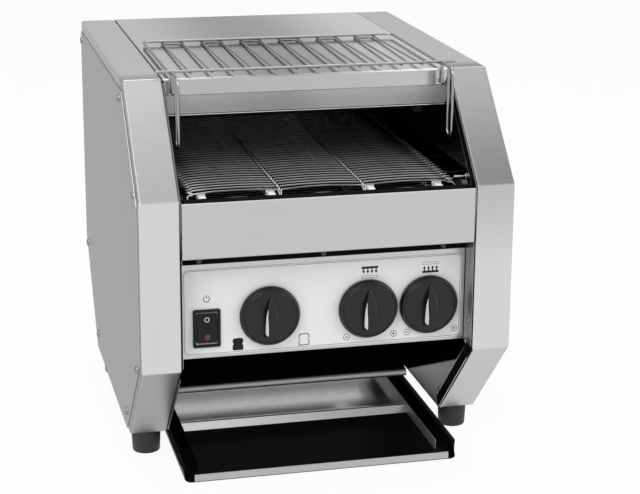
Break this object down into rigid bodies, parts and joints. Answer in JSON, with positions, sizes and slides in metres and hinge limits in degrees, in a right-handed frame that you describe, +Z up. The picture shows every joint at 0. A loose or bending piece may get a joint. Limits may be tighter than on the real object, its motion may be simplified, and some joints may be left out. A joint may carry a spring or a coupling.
{
  "type": "conveyor toaster",
  "caption": "Counter-top conveyor toaster: bread rides a wire belt between heating rods and slides down a curved chute onto a pull-out tray.",
  "frame": {"origin": "on the counter, under the middle of the whole toaster's box", "axes": "+X to the right seen from the front, +Y to the rear, +Z up; the loading mouth and the controls face -Y"},
  "size_m": [0.3744, 0.46, 0.3999],
  "materials": {
    "body_steel": "satin brushed stainless steel",
    "cover_steel": "bright polished stainless steel",
    "inner_steel": "polished inner steel, darkened by heat",
    "screw_steel": "bright zinc-plated steel",
    "rack_chrome": "bright chrome-plated wire",
    "belt_wire": "heat-blackened stainless wire",
    "overlay": "light grey printed film",
    "black_plastic": "matt black moulded plastic",
    "white_mark": "white plastic",
    "red_lens": "dark red translucent plastic",
    "black_coating": "black non-stick coating",
    "tray_steel": "satin stainless steel",
    "rubber": "black rubber",
    "sprocket_white": "white heat-resistant plastic",
    "ceramic": "white ceramic",
    "rod_sheath": "oxidised metal-sheathed heating rod",
    "motor_paint": "dark grey painted motor",
    "regulator": "light phenolic plastic",
    "board": "green circuit board"
  },
  "bodies": {
    "body": {"left_side_frame": "body_steel", "right_side_frame": "body_steel", "left_side_panel": "body_steel", "right_side_panel": "body_steel", "left_liner": "inner_steel", "right_liner": "inner_steel", "side_panel_screws": "screw_steel", "top_cover": "cover_steel", "rear_panel": "body_steel", "rear_slope_panel": "body_steel", "base_plate": "inner_steel", "upper_front_panel": "body_steel", "control_panel": "body_steel", "control_overlay": "overlay", "panel_screws": "screw_steel", "bay_shield": "inner_steel", "switch_bezel": "black_plastic", "speed_potentiometer": "regulator", "upper_heat_regulator": "regulator", "lower_heat_regulator": "regulator", "toast_chute": "black_coating", "chute_rods": "screw_steel", "wire_belt": "belt_wire", "belt_support": "inner_steel", "upper_heating_rods": "rod_sheath", "lower_heating_rods": "rod_sheath", "rod_holders": "ceramic", "upper_reflector": "inner_steel", "lower_reflector": "inner_steel", "shaft_bushings": "screw_steel", "gear_motor": "motor_paint", "drive_chain": "belt_wire", "terminal_block": "regulator", "limit_thermostat": "black_plastic", "control_board": "board", "fan_housing": "black_plastic", "cable_gland": "black_plastic", "rubber_feet": "rubber", "foot_screws": "screw_steel", "tray_rails": "inner_steel"},
    "rocker": {"rocker": "black_plastic", "rocker_lens": "red_lens"},
    "speed_knob": {"speed_knob": "black_plastic", "knob_pointers_speed": "white_mark"},
    "upper_heat_knob": {"upper_heat_knob": "black_plastic", "knob_pointers_upper": "white_mark"},
    "lower_heat_knob": {"lower_heat_knob": "black_plastic", "knob_pointers_lower": "white_mark"},
    "drive_shaft": {"drive_shaft": "screw_steel", "drive_sprockets": "sprocket_white"},
    "idle_shaft": {"idle_shaft": "screw_steel", "idle_sprockets": "sprocket_white"},
    "motor_sprocket": {"motor_sprocket": "screw_steel"},
    "fan_impeller": {"fan_impeller": "black_plastic"},
    "toast_tray": {"toast_tray": "black_coating", "crumb_pan": "tray_steel"},
    "wire_rack": {"wire_rack": "rack_chrome"}
  },
  "joints": [
    {"name": "speed_knob_turn", "type": "hinge", "parent": "body", "child": "speed_knob", "pos_m": [-0.055, -0.205, 0.169], "axis": [0, -1, 0], "range_deg": [-135, 135]},
    {"name": "upper_heat_knob_turn", "type": "hinge", "parent": "body", "child": "upper_heat_knob", "pos_m": [0.044, -0.205, 0.169], "axis": [0, -1, 0], "range_deg": [-135, 135]},
    {"name": "lower_heat_knob_turn", "type": "hinge", "parent": "body", "child": "lower_heat_knob", "pos_m": [0.106, -0.205, 0.169], "axis": [0, -1, 0], "range_deg": [-135, 135]},
    {"name": "rocker_tilt", "type": "hinge", "parent": "body", "child": "rocker", "pos_m": [-0.117, -0.201, 0.16], "axis": [1, 0, 0], "range_deg": [0, 14]},
    {"name": "drive_shaft_spin", "type": "hinge", "parent": "body", "child": "drive_shaft", "pos_m": [0, -0.188, 0.2801], "axis": [1, 0, 0], "continuous": true},
    {"name": "idle_shaft_spin", "type": "hinge", "parent": "body", "child": "idle_shaft", "pos_m": [0, 0.192, 0.2801], "axis": [1, 0, 0], "continuous": true},
    {"name": "motor_sprocket_spin", "type": "hinge", "parent": "body", "child": "motor_sprocket", "pos_m": [0.159, -0.135, 0.19], "axis": [1, 0, 0], "continuous": true},
    {"name": "fan_spin", "type": "hinge", "parent": "body", "child": "fan_impeller", "pos_m": [-0.155, -0.13, 0.19], "axis": [1, 0, 0], "continuous": true},
    {"name": "tray_slide", "type": "slide", "parent": "body", "child": "toast_tray", "axis": [0, -1, 0], "range_m": [0, 0.115]},
    {"name": "rack_lift", "type": "slide", "parent": "body", "child": "wire_rack", "axis": [0, 0, 1], "range_m": [0, 0.08]}
  ],
  "couplings": [
    {"joint": "idle_shaft_spin", "follows": "drive_shaft_spin", "ratio": 1},
    {"joint": "motor_sprocket_spin", "follows": "drive_shaft_spin", "ratio": 1}
  ]
}
